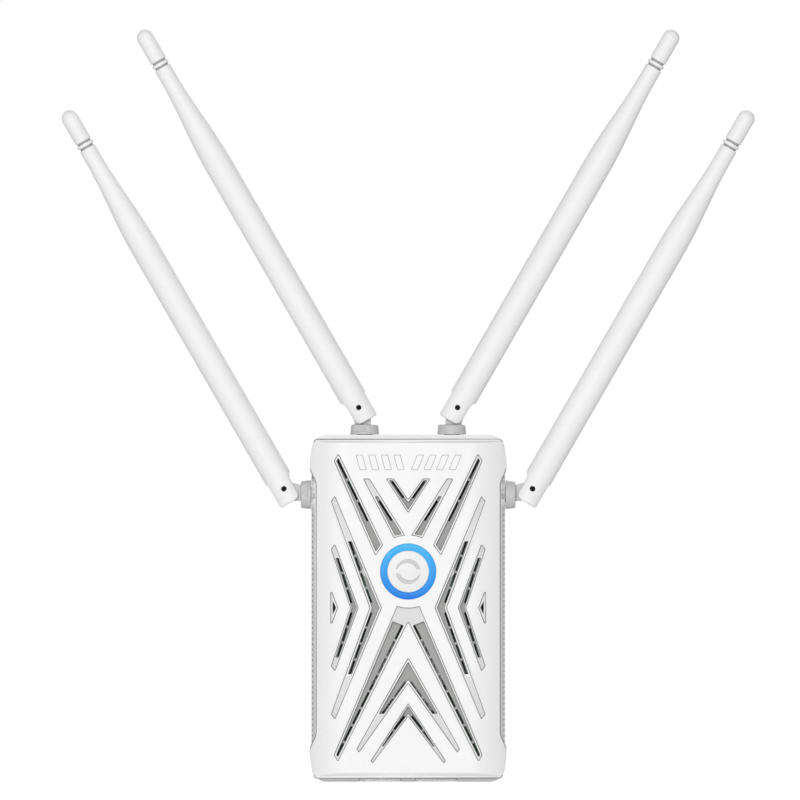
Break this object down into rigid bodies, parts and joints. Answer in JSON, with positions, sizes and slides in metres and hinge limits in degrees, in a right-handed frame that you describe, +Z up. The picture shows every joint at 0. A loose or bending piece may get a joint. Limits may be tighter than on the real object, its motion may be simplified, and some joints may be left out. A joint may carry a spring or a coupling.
{
  "type": "wifi range extender",
  "caption": "Wall-plug wifi range extender: vented white body with a lit round button, network sockets below and folding, swivelling aerials.",
  "frame": {"origin": "on the back face, midway between the two plug blades", "axes": "+Z up, +X to the right seen from the front, front faces -Y, +Y into the wall outlet"},
  "size_m": [0.2702, 0.0527, 0.2937],
  "materials": {
    "cover_plastic": "fine matte white ABS",
    "housing_plastic": "fine matte light grey-white ABS",
    "liner_plastic": "matte mid-grey plastic",
    "plug_plastic": "matte white flame-retardant plastic",
    "knuckle_plastic": "satin light grey plastic",
    "aerial_plastic": "satin white plastic",
    "button_plastic": "satin off-white plastic",
    "light_guide": "blue-lit translucent light guide",
    "black_plastic": "matte black plastic",
    "brass_plate": "plain brass",
    "gold_plate": "gold-plated spring contact",
    "steel": "zinc-plated steel",
    "pin_steel": "blackened steel",
    "shield_steel": "tinned steel",
    "heat_sink_metal": "extruded aluminium",
    "board": "dark solder mask on glass-fibre laminate",
    "power_board_laminate": "paper-phenolic laminate",
    "transformer_tape": "yellow insulating tape",
    "capacitor_sleeve": "dark shrink sleeve",
    "fuse_ceramic": "ceramic tube",
    "lead_jacket": "PVC insulation",
    "coax_jacket": "coaxial cable jacket",
    "led_lens": "LED package"
  },
  "bodies": {
    "case": {"front_cover": "cover_plastic", "vent_liner": "liner_plastic", "rear_housing": "housing_plastic", "left_grille": "housing_plastic", "right_grille": "housing_plastic", "plug_insert": "plug_plastic", "plug_blades": "brass_plate", "case_screws": "steel", "light_ring": "light_guide", "sync_switch": "black_plastic", "led_board": "board", "ring_leds": "led_lens", "led_board_screws": "steel", "main_board": "board", "board_screws": "steel", "rf_shields": "shield_steel", "processor": "black_plastic", "heat_sink": "heat_sink_metal", "memory_chips": "black_plastic", "power_board": "power_board_laminate", "transformer": "transformer_tape", "capacitors": "capacitor_sleeve", "fuse": "fuse_ceramic", "mains_leads": "lead_jacket", "antenna_leads": "coax_jacket", "ethernet_jacks": "shield_steel", "jack_contacts": "gold_plate", "reset_switch": "black_plastic", "mode_switch": "shield_steel"},
    "sync_key": {"sync_button": "button_plastic", "sync_plunger": "black_plastic"},
    "reset_key": {"reset_button": "black_plastic"},
    "mode_knob": {"mode_slider": "black_plastic"},
    "top_left_knuckle": {"top_left_swivel": "knuckle_plastic", "top_left_clip": "steel"},
    "top_left_arm": {"top_left_pin": "pin_steel", "top_left_sleeve": "aerial_plastic", "top_left_tip": "aerial_plastic", "top_left_element": "brass_plate"},
    "top_right_knuckle": {"top_right_swivel": "knuckle_plastic", "top_right_clip": "steel"},
    "top_right_arm": {"top_right_pin": "pin_steel", "top_right_sleeve": "aerial_plastic", "top_right_tip": "aerial_plastic", "top_right_element": "brass_plate"},
    "side_left_knuckle": {"side_left_swivel": "knuckle_plastic", "side_left_clip": "steel"},
    "side_left_arm": {"side_left_pin": "pin_steel", "side_left_sleeve": "aerial_plastic", "side_left_tip": "aerial_plastic", "side_left_element": "brass_plate"},
    "side_right_knuckle": {"side_right_swivel": "knuckle_plastic", "side_right_clip": "steel"},
    "side_right_arm": {"side_right_pin": "pin_steel", "side_right_sleeve": "aerial_plastic", "side_right_tip": "aerial_plastic", "side_right_element": "brass_plate"}
  },
  "joints": [
    {"name": "top_left_swivel", "type": "hinge", "parent": "case", "child": "top_left_knuckle", "pos_m": [-0.017, -0.0085, 0.0617], "axis": [0, 0, 1], "range_deg": [-150, 150]},
    {"name": "top_left_fold", "type": "hinge", "parent": "top_left_knuckle", "child": "top_left_arm", "pos_m": [-0.0193, -0.0085, 0.07235], "axis": [0, 1, 0], "range_deg": [-60, 30]},
    {"name": "top_right_swivel", "type": "hinge", "parent": "case", "child": "top_right_knuckle", "pos_m": [0.017, -0.0085, 0.0617], "axis": [0, 0, 1], "range_deg": [-150, 150]},
    {"name": "top_right_fold", "type": "hinge", "parent": "top_right_knuckle", "child": "top_right_arm", "pos_m": [0.0193, -0.0085, 0.07235], "axis": [0, 1, 0], "range_deg": [-30, 60]},
    {"name": "side_left_swivel", "type": "hinge", "parent": "case", "child": "side_left_knuckle", "pos_m": [-0.0378, -0.0224, 0.0384], "axis": [1, 0, 0], "range_deg": [-150, 150]},
    {"name": "side_left_fold", "type": "hinge", "parent": "side_left_knuckle", "child": "side_left_arm", "pos_m": [-0.04845, -0.0224, 0.0407], "axis": [0, 1, 0], "range_deg": [-60, 30]},
    {"name": "side_right_swivel", "type": "hinge", "parent": "case", "child": "side_right_knuckle", "pos_m": [0.0378, -0.0224, 0.0384], "axis": [1, 0, 0], "range_deg": [-150, 150]},
    {"name": "side_right_fold", "type": "hinge", "parent": "side_right_knuckle", "child": "side_right_arm", "pos_m": [0.04845, -0.0224, 0.0407], "axis": [0, 1, 0], "range_deg": [-30, 60]},
    {"name": "sync_press", "type": "slide", "parent": "case", "child": "sync_key", "axis": [0, 1, 0], "range_m": [0, 0.0007], "stiffness_N_per_m": 400, "springref_m": -0.003},
    {"name": "reset_press", "type": "slide", "parent": "case", "child": "reset_key", "axis": [0, 0, 1], "range_m": [0, 0.0005], "stiffness_N_per_m": 300, "springref_m": -0.003},
    {"name": "mode_slide", "type": "slide", "parent": "case", "child": "mode_knob", "axis": [1, 0, 0], "range_m": [-0.002, 0.002]}
  ]
}
